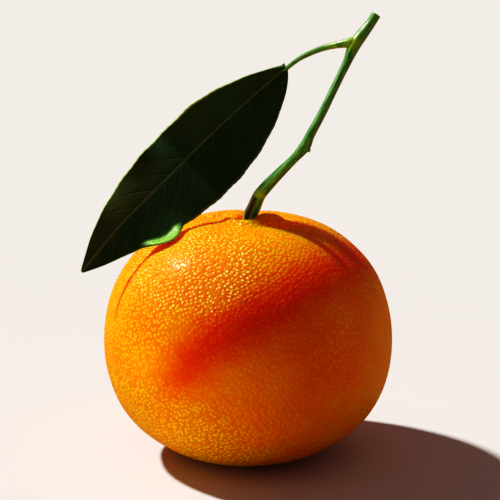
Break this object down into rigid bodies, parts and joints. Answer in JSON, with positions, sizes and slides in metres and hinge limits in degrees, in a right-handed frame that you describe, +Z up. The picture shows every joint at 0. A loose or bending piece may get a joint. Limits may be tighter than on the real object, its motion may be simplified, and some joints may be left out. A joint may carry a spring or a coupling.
{
  "type": "mandarin with twig and leaf",
  "caption": "Ripe mandarin on its cut twig with one leaf, a whole fresh fruit that stands on a small flat spot under it.",
  "frame": {"origin": "middle of the flat spot under the fruit, which it rests on", "axes": "+Z up along the fruit's axis from the flat spot to the calyx; the front of the leaf faces -Y; the twig leans to +X and the leaf hangs to -X"},
  "size_m": [0.0727, 0.0682, 0.1053],
  "materials": {
    "peel": "glossy waxy peel, deep orange, dotted with oil glands",
    "calyx_skin": "dull green-brown dried button",
    "green_bark": "smooth satin green bark with a brown cork streak",
    "leaf_skin": "dark green satin leaf, paler underneath"
  },
  "bodies": {
    "root": {"fruit": "peel", "calyx": "calyx_skin", "twig": "green_bark", "leaf": "leaf_skin"}
  },
  "joints": []
}
